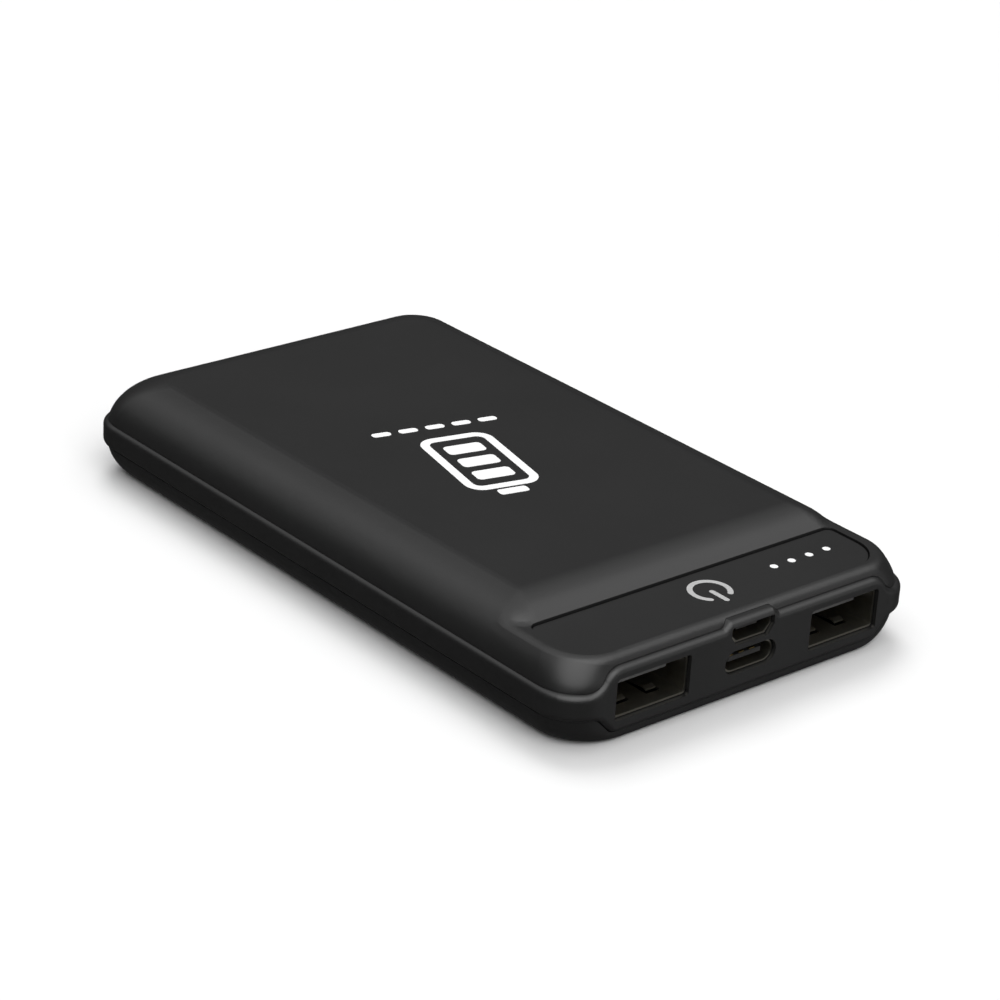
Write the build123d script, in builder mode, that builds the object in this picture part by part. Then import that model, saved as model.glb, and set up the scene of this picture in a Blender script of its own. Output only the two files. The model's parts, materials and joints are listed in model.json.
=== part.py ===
"""Pocket power bank: two soft-edged covers on a middle frame that carries the ports.

Millimetres. X is the width, the ports face -Y, +Z is up.
The origin is on the surface that the power bank lies on, under the middle of the case.
"""
from build123d import *
from math import sqrt
import os

# Case
width = 64.5
length = 110.1
height = 15.0
corner_radius = 6.2
wall = 1.4
front_wall = 1.5
seam_low = 4.5
seam_high = 8.4
seam_gap = 0.1
seam_step = 0.55
half_width = width / 2
half_length = length / 2
front_y = -half_length

# Edge curves of the covers, as circle arcs in the case's cross-section
plateau_half_width = 24.6
top_edge_radius = 8.2
base_half_width = 28.9
base_edge_radius = 6.0
corner_tightening = 0.28
front_corner_widening = 0.45

# Step down to the ledge that holds the key
ledge_z = 12.6
ledge_back_y = -41.2
front_slope_length = 5.8
slope_fillet = 5.0
ledge_wall = 1.2
form_setback = 0.9
front_rim_inset = 1.1
rim_fillet = 1.4
top_levels = (seam_high, 9.8, 11.2, ledge_z, 13.6, 14.35, 14.8, height)

# Middle frame: a band round the case that widens into the port wall at the front
frame_wall = 1.6
frame_edge_radius = 0.9
frame_front_depth = 3.6
front_half_width = 24.5
front_low = 1.8
front_high = 11.3
front_ramp = 2.1
bump_high = 12.25
bump_half_width = 3.9
bump_ramp = 1.1
rib_front_y = -30.4
rib_thickness = 1.2
rib_top = 7.0

# Key bar with the power symbol and the charge windows
key_half_width = 27.6
key_back_y = -41.35
key_front_y = -52.3
key_recess = 0.25
key_thickness = 1.2
key_pocket_high = 11.75
key_gap = 0.15
key_front_radius = 5.5
key_back_radius = 1.2
key_flange = 0.9
hook_thickness = 0.55
back_hook_half_width = 20.0
end_hook_rows = (-46.0, -43.0)
symbol_x = 0.0
symbol_y = -46.4
symbol_radius = 2.75
symbol_stroke = 0.8
symbol_gap_angle = 41.0
symbol_bar = 3.65
symbol_depth = 0.3
window_x = 12.5
window_pitch = 3.37
window_y = -45.85
window_radius = 0.58
window_count = 4
key_top = ledge_z - key_recess
key_bottom = key_top - key_thickness
hook_high = ledge_z - ledge_wall - 0.05
hook_low = hook_high - hook_thickness

# Circuit board
board_top = 8.6
board_thickness = 0.8
board_bottom = board_top - board_thickness
board_half_width = 29.4
board_front_y = -52.8
board_back_y = -32.0
board_corner_radius = 5.5
board_hole_x = 26.6
board_hole_rows = (-43.0, -34.8)

# Sockets: shells stand in the openings of the port wall, a little behind its face
socket_recess = 0.6
socket_y = front_y + socket_recess
usb_a_x = 17.5
usb_a_z = 6.7
usb_a_opening = (12.97, 6.05)
usb_a_outer = (12.7, 5.75)
usb_a_depth = 13.6
usb_a_sheet = 0.3
usb_a_tongue = 1.85
usb_a_tongue_rise = 0.525
usb_a_tongue_setback = 2.3
finger_x = 2.7
finger_width = 1.7
usb_c_z = 6.08
usb_c_opening = (9.3, 3.6)
usb_c_outer = (8.94, 3.2)
usb_c_depth = 7.3
micro_z = 10.03
micro_opening = (7.8, 2.75)
micro_outer = (7.5, 2.5)
micro_depth = 5.4
thin_sheet = 0.25

# Cell
cell_half_width = 26.2
cell_back_y = 48.5
cell_front_y = -24.5
cell_low = 2.0
cell_high = 12.2
guard_board_top = 7.25
guard_half_width = 14.0
guard_back_y = cell_front_y - 0.6
guard_front_y = cell_front_y - 4.2
lead_radius = 0.65

# Switch under the key
switch_place = (symbol_x, -44.2)
switch_top = 10.65
switch_body_top = board_top + 1.5
switch_half_size = (2.1, 1.6)
touch_gap = 0.05

# Status lights and their light guide
light_y = -36.6
light_height = 0.55
guide_low = 9.75
guide_high = 10.4
guide_legs = (9.9, 23.9)

# Locating pins of the covers, in bosses of the middle frame
pin_x = 28.85
pin_rows = (40.0, 4.0, -22.0)
pin_radius = 1.0
pin_low = 1.2
pin_high = 12.0
boss_radius = 2.0
pin_meeting_z = 6.8
running_gap = 0.1

os.makedirs("parts", exist_ok=True)


def save(piece, label):
    """Name a finished piece and write it as its own STEP file."""
    piece.label = label
    export_step(piece, f"parts/{label}.step")


def box(low, high, mode=Mode.ADD):
    """Add a block between two corners to the piece being built."""
    size = [high[i] - low[i] for i in range(3)]
    middle = [(high[i] + low[i]) / 2 for i in range(3)]
    with Locations(tuple(middle)):
        Box(*size, mode=mode)


def arc_half_width(z, start, end, radius):
    """Half-width at height z on a circle arc that bulges outwards from start to end, both (half-width, z)."""
    chord = Vector(*end) - Vector(*start)
    middle = (Vector(*end) + Vector(*start)) / 2
    inward = chord.rotate(Axis.Z, 90 if chord.Y > 0 else -90).normalized()
    centre = middle + inward * sqrt(radius**2 - (chord.length / 2) ** 2)
    return centre.X + sqrt(radius**2 - (z - centre.Y) ** 2)


def top_inset(z):
    """How far the top cover's side stands in from the case's full half-width at height z."""
    start = (half_width - seam_step, seam_high)
    return half_width - arc_half_width(z, start, (plateau_half_width, height), top_edge_radius)


def base_inset(z):
    """How far the bottom cover's side stands in from the case's full half-width at height z."""
    start = (half_width - seam_step, seam_low)
    return half_width - arc_half_width(z, start, (base_half_width, 0), base_edge_radius)


def case_outline(z, side_inset, front_inset, back_radius, front_radius):
    """Sketch the case's outline at height z, with its own inset and corners at the front."""
    half = half_width - side_inset
    back = half_length - side_inset
    front = half_length - front_inset
    with BuildSketch(Plane.XY.offset(z)) as outline:
        with Locations((0, (back - front) / 2)):
            Rectangle(2 * half, back + front)
        fillet(outline.vertices().group_by(Axis.Y)[-1], back_radius)
        fillet(outline.vertices().group_by(Axis.Y)[0], front_radius)
    return outline.sketch


def step_profile(drop, setback):
    """Sketch the space above the ledge, from the side, lowered by drop and moved back by setback."""
    slope_end = ledge_back_y + setback
    slope_start = slope_end + front_slope_length
    low = ledge_z - drop
    high = height - drop
    with BuildSketch(Plane.YZ.offset(-half_width)) as step:
        with BuildLine():
            Polyline((slope_end, low), (front_y - 2, low), (front_y - 2, high + 2), (slope_start, high + 2))
            Line((slope_start, high + 2), (slope_start, high))
            TangentArc((slope_start, high), (slope_end, low), tangent=(-1, 0))
        make_face()
    return step.sketch


def frame_front(grow):
    """Sketch the middle frame's outline seen from the front, grown by grow."""
    side = half_width + 1
    top_corner = front_half_width + grow
    ramp_end = top_corner + front_ramp
    with BuildSketch(Plane.XZ.offset(half_length + 2)) as front:
        with BuildLine():
            FilletPolyline(
                (0, bump_high + grow),
                (bump_half_width + grow, bump_high + grow),
                (bump_half_width + bump_ramp + grow, front_high + grow),
                (top_corner, front_high + grow),
                (ramp_end, seam_high + grow),
                (side, seam_high + grow),
                radius=(0.45, 0.45, 3.2, 3.2),
            )
            Line((side, seam_high + grow), (side, seam_low - grow))
            FilletPolyline(
                (side, seam_low - grow),
                (ramp_end, seam_low - grow),
                (top_corner - 0.5, front_low - grow),
                (0, front_low - grow),
                radius=(1.8, 1.8),
            )
            mirror(about=Plane.YZ)
        make_face()
    return front.sketch


def frame_space(grow):
    """The space that the middle frame takes out of the covers, grown by grow as a seam."""
    with BuildPart() as space:
        add(frame_front(grow))
        extrude(amount=frame_front_depth + 2, dir=(0, 1, 0))
        box(
            (-half_width - 1, front_y + frame_front_depth - 0.01, seam_low - grow),
            (half_width + 1, half_length + 1, seam_high + grow),
        )
    return space.part


def key_outline(z, gap):
    """Sketch the key bar's outline at height z, grown by gap."""
    with BuildSketch(Plane.XY.offset(z)) as outline:
        with Locations((0, (key_back_y + key_front_y) / 2)):
            Rectangle(2 * (key_half_width + gap), key_back_y - key_front_y + 2 * gap)
        fillet(outline.vertices().group_by(Axis.Y)[-1], key_back_radius + gap)
        fillet(outline.vertices().group_by(Axis.Y)[0], key_front_radius + gap)
    return outline.sketch


def symbol_sketch(z):
    """Sketch the power symbol at height z: a ring that opens to the front, and a bar through the opening."""
    start = 270 + symbol_gap_angle
    sweep = 360 - 2 * symbol_gap_angle
    ring_ends = [Vector(symbol_radius, 0).rotate(Axis.Z, angle) for angle in (start, start + sweep)]
    with BuildSketch(Plane((symbol_x, symbol_y, z))) as symbol:
        with BuildLine():
            CenterArc((0, 0), symbol_radius, start, sweep)
        trace(line_width=symbol_stroke)
        with Locations(*ring_ends):
            Circle(symbol_stroke / 2)
        with Locations((0, -symbol_bar / 2)):
            SlotOverall(symbol_bar, symbol_stroke, rotation=90)
    return symbol.sketch


def lofted_form(outlines, ruled):
    """Loft through outlines, each (z, side inset, front inset)."""
    with BuildPart() as form:
        for z, side_inset, front_inset in outlines:
            back_radius = corner_radius - corner_tightening * side_inset
            front_radius = corner_radius + front_corner_widening * side_inset
            add(case_outline(z, side_inset, front_inset, back_radius, front_radius))
        loft(ruled=ruled)
    return form.part


def in_ledge_plane(edge):
    """Whether an edge lies flat at the height of the ledge."""
    extent = edge.bounding_box()
    return abs(extent.min.Z - ledge_z) < 0.01 and abs(extent.max.Z - ledge_z) < 0.01


def top_outside():
    """The top cover's outer form, solid, with the step down to the ledge."""
    fronts = [seam_step, 0.7, 1.0] + [front_rim_inset] * 5
    with BuildPart() as form:
        add(lofted_form([(z, top_inset(z), front) for z, front in zip(top_levels, fronts)], ruled=False))
        add(step_profile(0, 0))
        extrude(amount=width, dir=(1, 0, 0), mode=Mode.SUBTRACT)
        above_ledge = form.edges().filter_by(lambda edge: edge.bounding_box().min.Z > ledge_z - 0.01)
        fillet(above_ledge.filter_by(lambda edge: edge.bounding_box().max.Z > ledge_z + 0.01), slope_fillet)
        rims = form.edges().filter_by(in_ledge_plane)
        ledge_back = rims.sort_by_distance((0, ledge_back_y, ledge_z))[0]
        fillet([edge for edge in rims if edge is not ledge_back], rim_fillet)
    return form.part


def top_inside():
    """The space inside the top cover: its outer form, lower and smaller by the wall."""
    outlines = [(z - ledge_wall, top_inset(z) + form_setback, seam_step + front_wall) for z in top_levels]
    with BuildPart() as form:
        add(lofted_form(outlines, ruled=True))
        add(step_profile(ledge_wall, form_setback))
        extrude(amount=width, dir=(1, 0, 0), mode=Mode.SUBTRACT)
    return form.part


def base_form(inset, raised):
    """The bottom cover's form, smaller by inset and raised; none gives its outside."""
    levels = (0, 0.3, 0.8, 1.6, 2.6, 3.7, seam_low)
    fronts = (1.9, 1.25, 0.85, 0.65, 0.58, seam_step, seam_step)
    outlines = [(z + raised, base_inset(z) + inset, front + inset) for z, front in zip(levels, fronts)]
    return lofted_form(outlines, ruled=inset > 0)


def cylinders(places, radius, low, high, mode=Mode.ADD):
    """Add upright cylinders at places, each (x, y), between two heights."""
    with Locations(*[(x, y, low) for x, y in places]):
        Cylinder(radius, high - low, align=(Align.CENTER, Align.CENTER, Align.MIN), mode=mode)


def both_sides(x, rows):
    """Places at x and -x in each row."""
    return [(side * x, y) for y in rows for side in (-1, 1)]


def on_outer_wall(edge):
    """Whether an edge lies in the middle frame's outer wall."""
    straight_x = half_width - corner_radius
    straight_y = half_length - corner_radius
    for share in (0.02, 0.25, 0.5, 0.75, 0.98):
        point = edge.position_at(share)
        corner = Vector(max(abs(point.X) - straight_x, 0), max(abs(point.Y) - straight_y, 0))
        if abs(corner.length - corner_radius) > 0.01:
            return False
    return True


def micro_outline(size):
    """Sketch a micro-USB outline, (width, height), with its two lower corners cut off."""
    half = size[0] / 2
    top = micro_z + size[1] / 2
    low = micro_z - size[1] / 2
    with BuildSketch(Plane.XZ.offset(-socket_y)) as outline:
        with BuildLine():
            Polyline(
                (-half, top), (half, top), (half, low + 0.5 * size[1]), (half - 1.0, low),
                (-half + 1.0, low), (-half, low + 0.5 * size[1]), close=True,
            )
        make_face()
        fillet(outline.vertices(), 0.3)
    return outline.sketch


pin_places = both_sides(pin_x, pin_rows)
board_screw_places = both_sides(board_hole_x, board_hole_rows)
window_places = [(window_x + i * window_pitch, window_y) for i in range(window_count)]
seam_space = frame_space(seam_gap / 2)

# Top cover: plateau, soft bevels, ledge with the key's opening, locating pins
with BuildPart() as top_cover:
    add(top_outside())
    add(top_inside(), mode=Mode.SUBTRACT)
    add(seam_space, mode=Mode.SUBTRACT)
    add(key_outline(0, key_gap))
    extrude(amount=height, mode=Mode.SUBTRACT)
    cylinders(pin_places, pin_radius, pin_meeting_z + running_gap, pin_high)
save(top_cover.part, "top_cover")

# Bottom cover: shallow tray with rounded edges, locating pins
with BuildPart() as bottom_cover:
    add(base_form(0, 0))
    add(base_form(form_setback, wall), mode=Mode.SUBTRACT)
    add(seam_space, mode=Mode.SUBTRACT)
    cylinders(pin_places, pin_radius, pin_low, pin_meeting_z - running_gap)
save(bottom_cover.part, "bottom_cover")

# Middle frame: band round the case, port wall, board posts, bosses and a cross rib
with BuildPart() as mid_frame:
    with BuildSketch(Plane.XY):
        RectangleRounded(width, length, corner_radius)
        RectangleRounded(
            width - 2 * frame_wall, length - 2 * frame_wall, corner_radius - frame_wall, mode=Mode.SUBTRACT
        )
    extrude(amount=height)
    add(frame_space(0), mode=Mode.INTERSECT)
    fillet(mid_frame.edges().filter_by(on_outer_wall), frame_edge_radius)
    cylinders(board_screw_places, 2.0, seam_low, board_bottom)
    for side in (-1, 1):
        for y in board_hole_rows:
            box_x = sorted((side * board_hole_x, side * (half_width - 1)))
            box((box_x[0], y - 0.8, seam_low), (box_x[1], y + 0.8, board_bottom))
    cylinders(board_screw_places, 0.7, seam_low + 0.4, board_bottom, Mode.SUBTRACT)
    cylinders(pin_places, boss_radius, seam_low, seam_high)
    cylinders(pin_places, pin_radius + running_gap, seam_low, seam_high, Mode.SUBTRACT)
    box((-half_width + 1, rib_front_y, seam_low), (half_width - 1, rib_front_y + rib_thickness, rib_top))
    with BuildSketch(Plane.XZ.offset(half_length + 1)):
        with Locations((-usb_a_x, usb_a_z), (usb_a_x, usb_a_z)):
            RectangleRounded(*usb_a_opening, 0.5)
        with Locations((0, usb_c_z)):
            SlotOverall(*usb_c_opening)
    extrude(amount=-(frame_wall + 1.4), mode=Mode.SUBTRACT)
    add(micro_outline(micro_opening))
    extrude(amount=2 * frame_wall, dir=(0, 1, 0), both=True, mode=Mode.SUBTRACT)
save(mid_frame.part, "mid_frame")

# Key bar: plate with hooks that hold it under the ledge, a pocket over the micro-USB socket and a switch post
with BuildPart() as control_key:
    add(key_outline(key_bottom, 0))
    extrude(amount=key_thickness)
    fillet(control_key.faces().sort_by(Axis.Z)[-1].edges(), 0.12)
    box(
        (-back_hook_half_width, key_back_y - 0.6, hook_low),
        (back_hook_half_width, key_back_y + key_flange, hook_high),
    )
    for side in (-1, 1):
        hook = sorted((side * (key_half_width - 1.6), side * (key_half_width + key_flange)))
        box((hook[0], end_hook_rows[0], hook_low), (hook[1], end_hook_rows[1], hook_high))
    box(
        (-micro_outer[0] / 2 - 0.4, key_front_y - 1, 0),
        (micro_outer[0] / 2 + 0.4, socket_y + micro_depth + 0.4, key_pocket_high),
        Mode.SUBTRACT,
    )
    cylinders([switch_place], 1.3, switch_top + touch_gap, key_bottom + 0.1)
    cylinders(window_places, window_radius, hook_low, height, Mode.SUBTRACT)
    add(symbol_sketch(key_top - symbol_depth))
    extrude(amount=1, dir=(0, 0, 1), mode=Mode.SUBTRACT)
save(control_key.part, "control_key")

# Power symbol: a coloured inlay in the key
with BuildPart() as power_symbol:
    add(symbol_sketch(key_top - symbol_depth))
    extrude(amount=symbol_depth, dir=(0, 0, 1))
save(power_symbol.part, "power_symbol_inlay")

# Charge windows: clear plugs in the key
with BuildPart() as charge_windows:
    cylinders(window_places, window_radius, key_bottom, key_top)
save(charge_windows.part, "charge_windows")

# Light guide: one finger from each status light to under its window, on two legs
with BuildPart() as light_guide:
    for x, y in window_places:
        box((x - 0.8, y - 0.8, guide_low), (x + 0.8, light_y + 0.7, guide_high))
        box((x - 0.8, light_y - 0.7, guide_low - 0.5), (x + 0.8, light_y + 0.7, guide_low))
    cylinders(window_places, 0.7, guide_high, guide_high + 0.3)
    box((guide_legs[0], light_y - 1.8, guide_low), (guide_legs[1] + 1, light_y - 0.8, guide_high))
    for x in guide_legs:
        box((x, light_y - 1.8, board_top), (x + 1, light_y + 0.4, guide_high))
save(light_guide.part, "light_guide")

# Status lights on the board
with BuildPart() as status_lights:
    for x, _ in window_places:
        box((x - 0.8, light_y - 0.4, board_top), (x + 0.8, light_y + 0.4, board_top + light_height))
save(status_lights.part, "status_lights")

# Circuit board with cut-outs for the two sunk USB-A sockets
with BuildPart() as main_board:
    box((-board_half_width, board_front_y, board_bottom), (board_half_width, board_back_y, board_top))
    front_corners = main_board.edges().filter_by(Axis.Z).group_by(Axis.Y)[0]
    fillet(front_corners, board_corner_radius)
    for x in (-usb_a_x, usb_a_x):
        reach = usb_a_outer[0] / 2 + running_gap
        box(
            (x - reach, board_front_y - 1, board_bottom - 1),
            (x + reach, socket_y + usb_a_depth + running_gap, height),
            Mode.SUBTRACT,
        )
    cylinders(board_screw_places, 0.9, board_bottom, board_top, Mode.SUBTRACT)
save(main_board.part, "main_board")

# Four self-tapping screws that hold the board to the frame's posts
with BuildPart() as board_screws:
    cylinders(board_screw_places, 0.62, board_bottom - 1.6, board_top)
    cylinders(board_screw_places, 1.4, board_top, board_top + 0.8)
    fillet(board_screws.faces().group_by(Axis.Z)[-1].edges(), 0.3)
    for x, y in board_screw_places:
        box((x - 0.8, y - 0.15, board_top + 0.4), (x + 0.8, y + 0.15, height), Mode.SUBTRACT)
        box((x - 0.15, y - 0.8, board_top + 0.4), (x + 0.15, y + 0.8, height), Mode.SUBTRACT)
save(board_screws.part, "board_screws")

# Two USB-A sockets: sheet shell with spring fingers, insulator with its tongue, four contacts
for name, x in (("left", -usb_a_x), ("right", usb_a_x)):
    half = usb_a_outer[0] / 2
    inner = half - usb_a_sheet
    low = usb_a_z - usb_a_outer[1] / 2
    floor = low + usb_a_sheet
    tongue_low = usb_a_z + usb_a_tongue_rise
    tongue_front = socket_y + usb_a_tongue_setback
    ceiling = usb_a_z + usb_a_outer[1] / 2 - usb_a_sheet
    back = socket_y + usb_a_depth
    with BuildPart() as shell:
        with BuildSketch(Plane.XZ.offset(-socket_y)):
            with Locations((x, usb_a_z)):
                RectangleRounded(*usb_a_outer, 0.6)
                RectangleRounded(2 * inner, ceiling - floor, 0.35, mode=Mode.SUBTRACT)
        extrude(amount=-usb_a_depth)
        for side in (-1, 1):
            ear = sorted((x + side * (half - 0.1), x + side * (half + 1.4)))
            box((ear[0], socket_y + 6.5, board_top), (ear[1], socket_y + 8.5, board_top + 0.3))
            finger = x + side * finger_x
            slot_half = finger_width / 2 + 0.35
            box(
                (finger - slot_half, socket_y + 2.2, low - 1),
                (finger + slot_half, socket_y + 8.4, floor + 0.1),
                Mode.SUBTRACT,
            )
            with BuildSketch(Plane.YZ.offset(finger - finger_width / 2)):
                with BuildLine():
                    Polyline(
                        (socket_y + 8.5, low), (socket_y + 3.4, low + 0.6), (socket_y + 2.7, low + 0.35),
                        (socket_y + 2.7, low + 0.6), (socket_y + 3.4, low + 0.85), (socket_y + 8.5, floor),
                        close=True,
                    )
                make_face()
            extrude(amount=finger_width)
    save(shell.part, f"usb_a_shell_{name}")
    with BuildPart() as insulator:
        box((x - inner + 0.1, back - 2.2, floor + 0.1), (x + inner - 0.1, back - 0.1, ceiling - 0.1))
        box((x - 5.55, tongue_front, tongue_low), (x + 5.55, back - 2.2, tongue_low + usb_a_tongue))
        chamfer(insulator.edges().filter_by(Axis.Z).group_by(Axis.Y)[0], 0.8)
    save(insulator.part, f"usb_a_insulator_{name}")
    with BuildPart() as contacts:
        for contact_x in (x - 3.5, x - 1.0, x + 1.0, x + 3.5):
            box((contact_x - 0.5, tongue_front + 0.9, tongue_low - 0.2), (contact_x + 0.5, back - 2.2, tongue_low))
    save(contacts.part, f"usb_a_contacts_{name}")

# USB-C socket, the charge-only kind with three wide contacts a side
with BuildPart() as usb_c_shell:
    with BuildSketch(Plane.XZ.offset(-socket_y)):
        with Locations((0, usb_c_z)):
            SlotOverall(*usb_c_outer)
            SlotOverall(*[size - 2 * thin_sheet for size in usb_c_outer], mode=Mode.SUBTRACT)
    extrude(amount=-usb_c_depth)
    for leg_x in (-3.0, 3.0):
        for leg_y in (socket_y + 1.6, socket_y + 5.4):
            box((leg_x - 0.5, leg_y - 0.5, usb_c_z + 1.45), (leg_x + 0.5, leg_y + 0.5, board_bottom))
save(usb_c_shell.part, "usb_c_shell")

with BuildPart() as usb_c_tongue:
    with BuildSketch(Plane.XZ.offset(-(socket_y + usb_c_depth))):
        with Locations((0, usb_c_z)):
            SlotOverall(*[size - 2 * thin_sheet - 0.1 for size in usb_c_outer])
    extrude(amount=1.4)
    box((-3.3, socket_y + 0.6, usb_c_z - 0.35), (3.3, socket_y + usb_c_depth - 1.4, usb_c_z + 0.35))
    chamfer(usb_c_tongue.edges().filter_by(Axis.Z).group_by(Axis.Y)[0], 0.4)
save(usb_c_tongue.part, "usb_c_tongue")

with BuildPart() as usb_c_contacts:
    for offset in (-2.4, -0.45, 1.5):
        for low, high in ((usb_c_z - 0.41, usb_c_z - 0.35), (usb_c_z + 0.35, usb_c_z + 0.41)):
            box((offset - 0.5, socket_y + 0.8, low), (offset + 0.5, socket_y + usb_c_depth - 1.4, high))
save(usb_c_contacts.part, "usb_c_contacts")

# Micro-USB socket
with BuildPart() as micro_shell:
    add(micro_outline(micro_outer))
    extrude(amount=micro_depth, dir=(0, 1, 0))
    add(micro_outline([size - 2 * thin_sheet for size in micro_outer]))
    extrude(amount=micro_depth, dir=(0, 1, 0), mode=Mode.SUBTRACT)
save(micro_shell.part, "micro_usb_shell")

with BuildPart() as micro_tongue:
    add(micro_outline([size - 2 * thin_sheet - 0.1 for size in micro_outer]))
    extrude(amount=micro_depth, dir=(0, 1, 0))
    box((-half_width, socket_y - 1, 0), (half_width, socket_y + micro_depth - 1.2, height), Mode.SUBTRACT)
    box((-1.9, socket_y + 0.8, micro_z + 0.1), (1.9, socket_y + micro_depth - 1.2, micro_z + 0.65))
save(micro_tongue.part, "micro_usb_tongue")

with BuildPart() as micro_contacts:
    for i in range(5):
        x = (i - 2) * 0.65
        box((x - 0.15, socket_y + 1.2, micro_z), (x + 0.15, socket_y + micro_depth - 1.2, micro_z + 0.1))
save(micro_contacts.part, "micro_usb_contacts")

# Tact switch: body, cover plate and the stem that the key's post presses
switch_x, switch_y = switch_place
with BuildPart() as switch_body:
    box(
        (switch_x - switch_half_size[0], switch_y - switch_half_size[1], board_top),
        (switch_x + switch_half_size[0], switch_y + switch_half_size[1], switch_body_top),
    )
    cylinders([switch_place], 1.35, board_top + 0.4, switch_body_top, Mode.SUBTRACT)
save(switch_body.part, "switch_body")

with BuildPart() as switch_plate:
    box(
        (switch_x - switch_half_size[0], switch_y - switch_half_size[1], switch_body_top),
        (switch_x + switch_half_size[0], switch_y + switch_half_size[1], switch_body_top + 0.15),
    )
    cylinders([switch_place], 0.95, board_top, height, Mode.SUBTRACT)
save(switch_plate.part, "switch_plate")

with BuildPart() as switch_stem:
    cylinders([switch_place], 1.25, switch_body_top - 0.65, switch_body_top - 0.05)
    cylinders([switch_place], 0.85, switch_body_top - 0.05, switch_top)
save(switch_stem.part, "switch_stem")

# Parts soldered to the board
with BuildPart() as power_chip:
    box((0.5, -38.8, board_top), (5.5, -33.8, board_top + 0.85))
    cylinders([(1.1, -34.4)], 0.3, board_top + 0.75, height, Mode.SUBTRACT)
save(power_chip.part, "power_chip")

with BuildPart() as inductor:
    with BuildSketch(Plane.XY.offset(board_bottom)):
        with Locations((-1.0, -38.5)):
            RectangleRounded(6.8, 6.8, 1.2)
    extrude(amount=-3.0)
    fillet(inductor.faces().sort_by(Axis.Z)[0].edges(), 0.4)
save(inductor.part, "inductor")

with BuildPart() as capacitors:
    for x in (-22.5, -18.5, -14.5, -10.5):
        box((x - 1.6, -37.4, board_top), (x + 1.6, -35.8, board_top + 1.5))
save(capacitors.part, "capacitors")

with BuildPart() as resistors:
    for x in (-24.0, -21.5, -19.0, -16.5, 17.0, 19.5):
        box((x - 0.8, -34.4, board_top), (x + 0.8, -33.6, board_top + 0.45))
save(resistors.part, "resistors")

# Pouch cell with its tabs and guard board, packed between a tape and a foam pad
with BuildPart() as battery_cell:
    box((-cell_half_width, cell_front_y, cell_low), (cell_half_width, cell_back_y, cell_high))
    fillet(battery_cell.edges().filter_by(Axis.Z), 2.5)
    fillet(battery_cell.edges().group_by(Axis.Z)[0] + battery_cell.edges().group_by(Axis.Z)[-1], 1.5)
save(battery_cell.part, "battery_cell")

with BuildPart() as guard_board:
    box(
        (-guard_half_width, guard_front_y, guard_board_top - board_thickness),
        (guard_half_width, guard_back_y, guard_board_top),
    )
save(guard_board.part, "guard_board")

with BuildPart() as battery_tabs:
    for x in (-9.0, 9.0):
        box((x - 2, guard_back_y - 1.4, guard_board_top), (x + 2, cell_front_y, guard_board_top + 0.2))
save(battery_tabs.part, "battery_tabs")

lead_low = guard_board_top + lead_radius
lead_end = board_top + lead_radius
for name, side in (("red", -1), ("black", 1)):
    with BuildPart() as lead:
        with BuildLine():
            route = FilletPolyline(
                (side * 4.0, guard_back_y - 0.4, lead_low),
                (side * 4.0, guard_front_y + 0.9, lead_low),
                (side * 4.4, -31.2, lead_end + 0.6),
                (side * 7.2, board_back_y - 1.6, lead_end),
                (side * 9.6, board_back_y - 1.6, lead_end),
                radius=(2.0, 2.0, 2.0),
            )
        with BuildSketch(Plane(origin=route @ 0, z_dir=route % 0)):
            Circle(lead_radius)
        sweep()
    print(f"lead {name}: {route.length:.2f} mm, {lead.part.volume:.2f} mm3")
    save(lead.part, f"battery_lead_{name}")

with BuildPart() as cell_tape:
    box((-20, -16, wall), (20, 38, cell_low))
save(cell_tape.part, "cell_tape")

with BuildPart() as foam_pad:
    box((-19, -14, cell_high), (19, 36, height - ledge_wall - 0.1))
save(foam_pad.part, "foam_pad")
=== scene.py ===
"""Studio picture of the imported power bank: materials, the printed pictogram, floor, light and camera.

Metres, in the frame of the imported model: X is the width, the ports face -Y, +Z is up.
"""
import json
import math

import bmesh
import bpy
from mathutils import Matrix, Vector


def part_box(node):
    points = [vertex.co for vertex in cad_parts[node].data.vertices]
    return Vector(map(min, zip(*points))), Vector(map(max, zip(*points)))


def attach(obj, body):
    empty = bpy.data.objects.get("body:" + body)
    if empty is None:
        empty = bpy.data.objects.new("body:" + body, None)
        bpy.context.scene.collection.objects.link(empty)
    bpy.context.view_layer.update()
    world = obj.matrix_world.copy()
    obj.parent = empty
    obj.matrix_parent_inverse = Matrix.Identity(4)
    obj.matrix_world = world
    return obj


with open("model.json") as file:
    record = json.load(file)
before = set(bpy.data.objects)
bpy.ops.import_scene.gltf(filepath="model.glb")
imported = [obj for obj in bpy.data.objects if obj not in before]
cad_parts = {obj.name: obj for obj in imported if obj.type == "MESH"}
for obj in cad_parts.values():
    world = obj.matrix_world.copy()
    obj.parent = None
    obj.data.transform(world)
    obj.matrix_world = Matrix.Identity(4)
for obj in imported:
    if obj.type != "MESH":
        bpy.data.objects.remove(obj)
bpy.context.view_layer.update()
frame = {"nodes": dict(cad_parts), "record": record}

MM = 0.001

# Camera: place in metres, angles in degrees, lens and sensor in millimetres
CAMERA_PLACE = (-0.27259, -0.31200, 0.19875)
CAMERA_AZIMUTH = -41.41
CAMERA_ELEVATION = 24.77
CAMERA_ROLL = 3.67
CAMERA_LENS = 113.95
CAMERA_SENSOR = 36
CAMERA_NEAREST = 0.01

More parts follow.
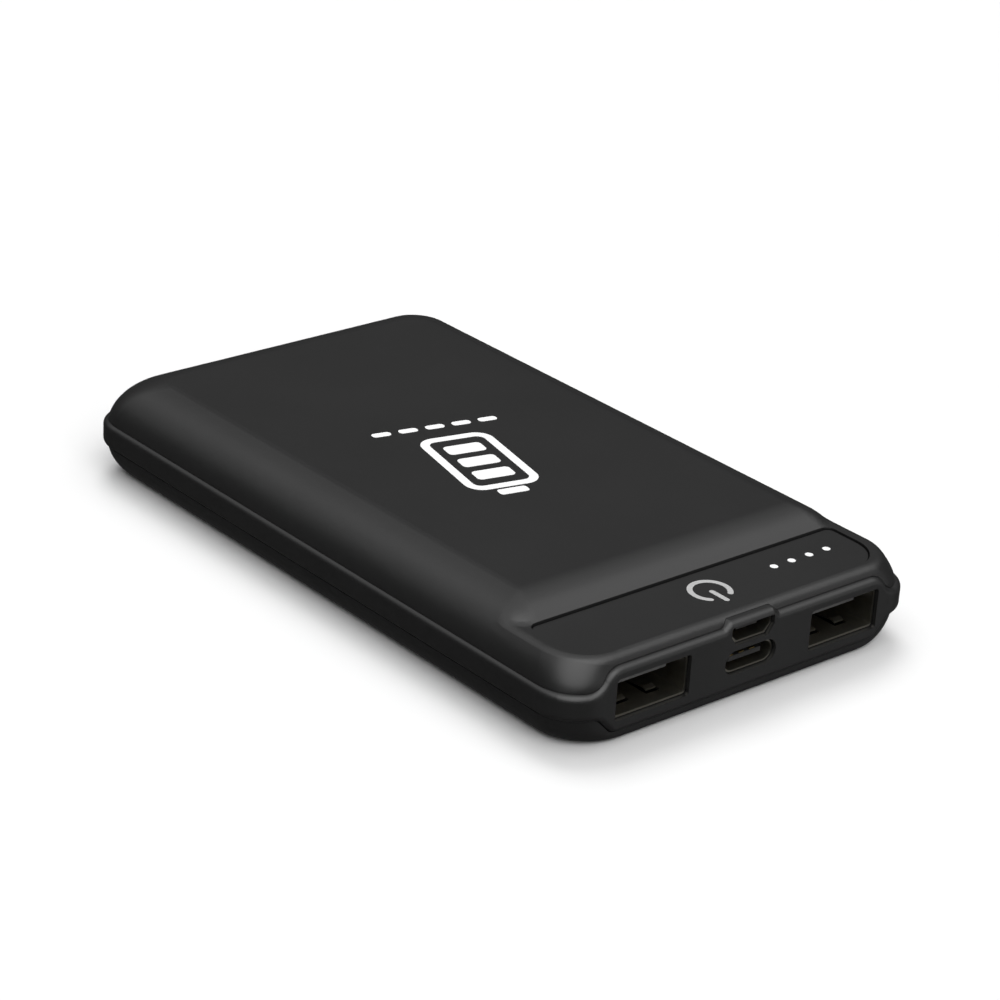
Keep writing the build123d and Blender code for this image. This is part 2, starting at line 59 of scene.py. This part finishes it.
# Printed pictogram: a plain battery outline and a dashed line; the turn is in degrees
PRINT_TURN = -12.5
PRINT_THICKNESS = 0.03 * MM
BATTERY_CENTRE = (-3.2 * MM, -1.5 * MM)
BATTERY_WIDTH = 11.5 * MM
BATTERY_LENGTH = 18.5 * MM
BATTERY_CORNER = 2.6 * MM
BATTERY_STROKE = 1.35 * MM
CAP_WIDTH = 4.6 * MM
CAP_LENGTH = 1.7 * MM
CAP_CORNER = 0.3 * CAP_LENGTH
CAP_GAP = 0.5 * MM
BAR_COUNT = 3
BAR_WIDTH = 6.0 * MM
BAR_LENGTH = 2.9 * MM
BAR_CORNER = 0.25 * BAR_LENGTH
BAR_PITCH = 4.5 * MM
DASH_CENTRE = (-1.0 * MM, 11.3 * MM)
DASH_COUNT = 5
DASH_LENGTH = 3.0 * MM
DASH_WIDTH = 1.3 * MM
DASH_CORNER = 0.45 * DASH_WIDTH
DASH_PITCH = 4.3 * MM
CORNER_STEPS = 10

# Material noise: detail levels, where the clouds turn from dark to light, and the grain's bump strength
CLOUD_DETAIL = 4
GRAIN_DETAIL = 2
CLOUD_DARK_END = 0.3
CLOUD_LIGHT_START = 0.7
BUMP_STRENGTH = 0.5

# Floor, a little under the case so that the two faces don't coincide
FLOOR_SIZE = 8
FLOOR_Z = -0.02 * MM

# Dome: heights are sines of the elevation
SKY_LOW = 0.5
SKY_HIGH = 0.8
SKY_DIM = 0.05
SKY_STRENGTH = 1.15

# Suns that light only matte reflection, and suns that light only gloss: name, direction, strength, spread
MATTE_SUNS = (
    ("shadow key", (0.30, 0.50, 0.81), 1.1, 30),
    ("front fill", (-0.20, -0.70, 0.68), 1.25, 45),
)
GLOSS_SUNS = (
    ("back gloss", (-0.42, 0.66, 0.62), 0.31, 45),
    ("right gloss", (0.58, -0.30, 0.76), 0.58, 45),
    ("front gloss", (-0.40, -0.52, 0.75), 3.4, 75),
    ("rim gloss", (0.60, -0.75, 0.28), 0.5, 60),
    ("port gloss", (0.60, -0.68, -0.42), 0.1, 60),
)


# --- Materials ---

def surface(name, dark, light, roughness, cloud, grain, depth, **sockets):
    """A material whose colour drifts from dark to light in clouds, with uneven gloss and a fine bumpy grain.

    cloud and grain are noise scales per metre, depth is the grain's height in metres. Other arguments are
    the shader's sockets, with underscores for spaces.
    """
    material = bpy.data.materials.new(name)
    material.use_nodes = True
    tree = material.node_tree
    shader = tree.nodes["Principled BSDF"]
    for socket, value in sockets.items():
        shader.inputs[socket.replace("_", " ")].default_value = value

    place = tree.nodes.new("ShaderNodeTexCoord")
    clouds = tree.nodes.new("ShaderNodeTexNoise")
    clouds.inputs["Scale"].default_value = cloud
    clouds.inputs["Detail"].default_value = CLOUD_DETAIL
    tree.links.new(place.outputs["Object"], clouds.inputs["Vector"])

    colours = tree.nodes.new("ShaderNodeValToRGB")
    colours.color_ramp.elements[0].position = CLOUD_DARK_END
    colours.color_ramp.elements[0].color = (*dark, 1)
    colours.color_ramp.elements[1].position = CLOUD_LIGHT_START
    colours.color_ramp.elements[1].color = (*light, 1)
    tree.links.new(clouds.outputs["Fac"], colours.inputs["Fac"])
    tree.links.new(colours.outputs["Color"], shader.inputs["Base Color"])

    grains = tree.nodes.new("ShaderNodeTexNoise")
    grains.inputs["Scale"].default_value = grain
    grains.inputs["Detail"].default_value = GRAIN_DETAIL
    tree.links.new(place.outputs["Object"], grains.inputs["Vector"])

    gloss = tree.nodes.new("ShaderNodeMapRange")
    gloss.inputs["To Min"].default_value = roughness[0]
    gloss.inputs["To Max"].default_value = roughness[1]
    tree.links.new(grains.outputs["Fac"], gloss.inputs["Value"])
    tree.links.new(gloss.outputs["Result"], shader.inputs["Roughness"])

    bump = tree.nodes.new("ShaderNodeBump")
    bump.inputs["Strength"].default_value = BUMP_STRENGTH
    bump.inputs["Distance"].default_value = depth
    tree.links.new(grains.outputs["Fac"], bump.inputs["Height"])
    tree.links.new(bump.outputs["Normal"], shader.inputs["Normal"])
    return material


def grey(value):
    """A neutral colour."""
    return (value, value, value)


case_plastic = dict(
    roughness=(0.36, 0.44), cloud=60, grain=7000, depth=0.005 * MM, Specular_IOR_Level=0.42
)
steel = dict(roughness=(0.26, 0.36), cloud=500, grain=6000, depth=0.002 * MM, Metallic=1.0)
chips = dict(roughness=(0.5, 0.65), cloud=900, grain=9000, depth=0.01 * MM)

MATERIALS = {
    "soft_black_plastic": surface("soft-touch black", grey(0.0085), grey(0.0105), **case_plastic),
    "key_black_plastic": surface("key black", grey(0.0085), grey(0.0105), **case_plastic),
    "symbol_grey": surface("grey inlay", grey(0.42), grey(0.46), (0.4, 0.5), 900, 7000, 0.004 * MM),
    "window_white": surface("white window", grey(0.88), grey(0.95), (0.25, 0.35), 900, 7000, 0.002 * MM),
    "clear_plastic": surface(
        "clear guide", (0.85, 0.88, 0.9), (0.9, 0.92, 0.94), (0.08, 0.15), 300, 3000, 0.002 * MM,
        Transmission_Weight=0.9, IOR=1.49,
    ),
    "connector_steel": surface("nickel plate", (0.28, 0.27, 0.23), (0.34, 0.325, 0.28), **steel),
    "connector_plastic": surface("socket tongue", grey(0.07), grey(0.09), (0.4, 0.5), 700, 6000, 0.006 * MM),
    "connector_black": surface("socket black", grey(0.012), grey(0.02), (0.35, 0.5), 700, 6000, 0.006 * MM),
    "contact_gold": surface(
        "gold plate", (0.78, 0.56, 0.2), (0.88, 0.68, 0.3), (0.18, 0.3), 900, 8000, 0.002 * MM, Metallic=1.0
    ),
    "board_green": surface(
        "solder mask", (0.012, 0.09, 0.04), (0.03, 0.16, 0.07), (0.2, 0.3), 400, 4000, 0.01 * MM,
        Coat_Weight=0.3,
    ),
    "screw_steel": surface(
        "zinc plate", grey(0.45), grey(0.6), (0.25, 0.4), 1500, 9000, 0.004 * MM, Metallic=1.0
    ),
    "chip_black": surface("moulded chip", grey(0.015), grey(0.025), **chips),
    "ferrite_grey": surface("pressed ferrite", grey(0.06), grey(0.09), **chips),
    "ceramic_tan": surface("sintered ceramic", (0.36, 0.25, 0.14), (0.48, 0.36, 0.22), **chips),
    "led_yellow": surface("phosphor", (0.8, 0.7, 0.25), (0.9, 0.82, 0.4), (0.2, 0.35), 900, 7000, 0.002 * MM),
    "pouch_silver": surface(
        "laminated foil", grey(0.55), grey(0.7), (0.22, 0.36), 120, 1500, 0.03 * MM, Metallic=1.0
    ),
    "nickel": surface("nickel strip", (0.55, 0.52, 0.47), (0.68, 0.65, 0.58), **steel),
    "lead_red": surface(
        "red sleeve", (0.45, 0.01, 0.01), (0.6, 0.02, 0.02), (0.35, 0.5), 500, 5000, 0.006 * MM
    ),
    "lead_black": surface("black sleeve", grey(0.01), grey(0.02), (0.35, 0.5), 500, 5000, 0.006 * MM),
    "foam_grey": surface("closed-cell foam", grey(0.05), grey(0.12), (0.85, 0.95), 1500, 3500, 0.08 * MM),
    "tape_yellow": surface(
        "adhesive tape", (0.6, 0.42, 0.1), (0.75, 0.56, 0.18), (0.3, 0.45), 200, 2500, 0.02 * MM
    ),
}
print_white = surface("white print", grey(0.88), grey(0.93), (0.45, 0.55), 900, 7000, 0.004 * MM)
pale_floor = surface("pale floor", grey(0.82), grey(0.84), (0.7, 0.8), 6, 900, 0.02 * MM)


def paint(piece, material):
    """Give a piece one material."""
    piece.data.materials.clear()
    piece.data.materials.append(material)


def paint_frame():
    """Give every CAD node its slot's material, through the object, because a CAD mesh is never changed."""
    for row in frame["record"]["subparts"]:
        node = frame["nodes"][row["node"]]
        for slot in node.material_slots:
            slot.link = "OBJECT"
            slot.material = MATERIALS[row["material_slot"]]


# --- Printed pictogram ---

def rounded_outline(width, length, corner):
    """The points of a rounded rectangle round the origin, anticlockwise."""
    points = []
    quarters = ((1, 1, 0), (-1, 1, 90), (-1, -1, 180), (1, -1, 270))
    for side_x, side_y, start in quarters:
        centre = Vector((side_x * (width / 2 - corner), side_y * (length / 2 - corner)))
        for step in range(CORNER_STEPS + 1):
            angle = math.radians(start + 90 * step / CORNER_STEPS)
            points.append(centre + corner * Vector((math.cos(angle), math.sin(angle))))
    return points


def print_shape(mesh, outline, hole, centre, turn):
    """Add one flat printed shape to the mesh as a closed slab on the plateau.

    hole is an outline of as many points, or None.
    """
    rotation = Matrix.Rotation(turn, 2)
    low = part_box("top_cover")[1][2]

    def ring(points, z):
        return [mesh.verts.new((*(Vector(centre) + rotation @ point), z)) for point in points]

    top, bottom = ring(outline, low + PRINT_THICKNESS), ring(outline, low)
    count = len(outline)
    for i in range(count):
        j = (i + 1) % count
        mesh.faces.new((bottom[i], bottom[j], top[j], top[i]))
    if hole is None:
        mesh.faces.new(top)
        mesh.faces.new(reversed(bottom))
        return
    hole_top, hole_bottom = ring(hole, low + PRINT_THICKNESS), ring(hole, low)
    for i in range(count):
        j = (i + 1) % count
        mesh.faces.new((hole_top[i], hole_top[j], hole_bottom[j], hole_bottom[i]))
        mesh.faces.new((top[i], top[j], hole_top[j], hole_top[i]))
        mesh.faces.new((bottom[j], bottom[i], hole_bottom[i], hole_bottom[j]))


def make_print():
    """The white print on the plateau: battery outline, its cap, three charge bars and a dashed line."""
    mesh = bmesh.new()
    turn = math.radians(PRINT_TURN)
    rotation = Matrix.Rotation(turn, 2)
    centre = Vector(BATTERY_CENTRE)
    body = rounded_outline(BATTERY_WIDTH, BATTERY_LENGTH, BATTERY_CORNER)
    inside = rounded_outline(
        BATTERY_WIDTH - 2 * BATTERY_STROKE,
        BATTERY_LENGTH - 2 * BATTERY_STROKE,
        BATTERY_CORNER - BATTERY_STROKE,
    )
    print_shape(mesh, body, inside, centre, turn)
    cap = rounded_outline(CAP_WIDTH, CAP_LENGTH, CAP_CORNER)
    cap_place = Vector((0, -(BATTERY_LENGTH + CAP_LENGTH) / 2 - CAP_GAP))
    print_shape(mesh, cap, None, centre + rotation @ cap_place, turn)
    bar = rounded_outline(BAR_WIDTH, BAR_LENGTH, BAR_CORNER)
    for i in range(BAR_COUNT):
        bar_place = Vector((0, (i - (BAR_COUNT - 1) / 2) * BAR_PITCH))
        print_shape(mesh, bar, None, centre + rotation @ bar_place, turn)
    dash = rounded_outline(DASH_LENGTH, DASH_WIDTH, DASH_CORNER)
    for i in range(DASH_COUNT):
        dash_place = Vector(((i - (DASH_COUNT - 1) / 2) * DASH_PITCH, 0))
        print_shape(mesh, dash, None, Vector(DASH_CENTRE) + rotation @ dash_place, turn)
    data = bpy.data.meshes.new("print")
    mesh.to_mesh(data)
    mesh.free()
    piece = bpy.data.objects.new("battery_print", data)
    bpy.context.collection.objects.link(piece)
    paint(piece, print_white)
    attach(piece, "case")


# --- Studio ---

def make_floor():
    """A plain pale floor that shows in no reflection and lets the low gloss sun shine past it."""
    bpy.ops.mesh.primitive_plane_add(size=FLOOR_SIZE, location=(0, 0, FLOOR_Z))
    floor = bpy.context.object
    floor.name = "floor"
    floor.visible_glossy = False
    floor.visible_shadow = False
    paint(floor, pale_floor)


def light_sky():
    """An even studio dome: dim at the horizon, bright overhead."""
    world = bpy.data.worlds.new("studio dome")
    bpy.context.scene.world = world
    world.use_nodes = True
    tree = world.node_tree
    place = tree.nodes.new("ShaderNodeTexCoord")
    split = tree.nodes.new("ShaderNodeSeparateXYZ")
    ramp = tree.nodes.new("ShaderNodeValToRGB")
    ramp.color_ramp.elements[0].position = SKY_LOW
    ramp.color_ramp.elements[0].color = (*grey(SKY_DIM), 1)
    ramp.color_ramp.elements[1].position = SKY_HIGH
    ramp.color_ramp.elements[1].color = (*grey(1), 1)
    tree.nodes["Background"].inputs["Strength"].default_value = SKY_STRENGTH
    tree.links.new(place.outputs["Generated"], split.inputs["Vector"])
    tree.links.new(split.outputs["Z"], ramp.inputs["Fac"])
    tree.links.new(ramp.outputs["Color"], tree.nodes["Background"].inputs["Color"])


def sun(name, direction, strength, spread, matte):
    """A soft far light from a direction, spread in degrees, for matte reflection or else for gloss."""
    data = bpy.data.lights.new(name, "SUN")
    data.energy = strength
    data.angle = math.radians(spread)
    lamp = bpy.data.objects.new(name, data)
    lamp.rotation_euler = Vector(direction).to_track_quat("Z", "Y").to_euler()
    lamp.visible_diffuse = matte
    lamp.visible_glossy = not matte
    bpy.context.collection.objects.link(lamp)


def place_camera():
    """The camera at the photographed angle."""
    azimuth = math.radians(CAMERA_AZIMUTH)
    elevation = math.radians(CAMERA_ELEVATION)
    back = Vector((
        math.sin(azimuth) * math.cos(elevation),
        -math.cos(azimuth) * math.cos(elevation),
        math.sin(elevation),
    ))
    right = Vector((0, 0, 1)).cross(back).normalized()
    up = back.cross(right)
    turn = Matrix((right, up, back)).transposed() @ Matrix.Rotation(math.radians(CAMERA_ROLL), 3, "Z")
    data = bpy.data.cameras.new("camera")
    data.lens = CAMERA_LENS
    data.sensor_width = CAMERA_SENSOR
    data.clip_start = CAMERA_NEAREST
    camera = bpy.data.objects.new("camera", data)
    camera.matrix_world = Matrix.Translation(CAMERA_PLACE) @ turn.to_4x4()
    bpy.context.collection.objects.link(camera)
    bpy.context.scene.camera = camera


paint_frame()
make_print()
make_floor()
light_sky()
for matte, rows in ((True, MATTE_SUNS), (False, GLOSS_SUNS)):
    for row in rows:
        sun(*row, matte)
place_camera()
bpy.context.scene.view_settings.view_transform = "Standard"
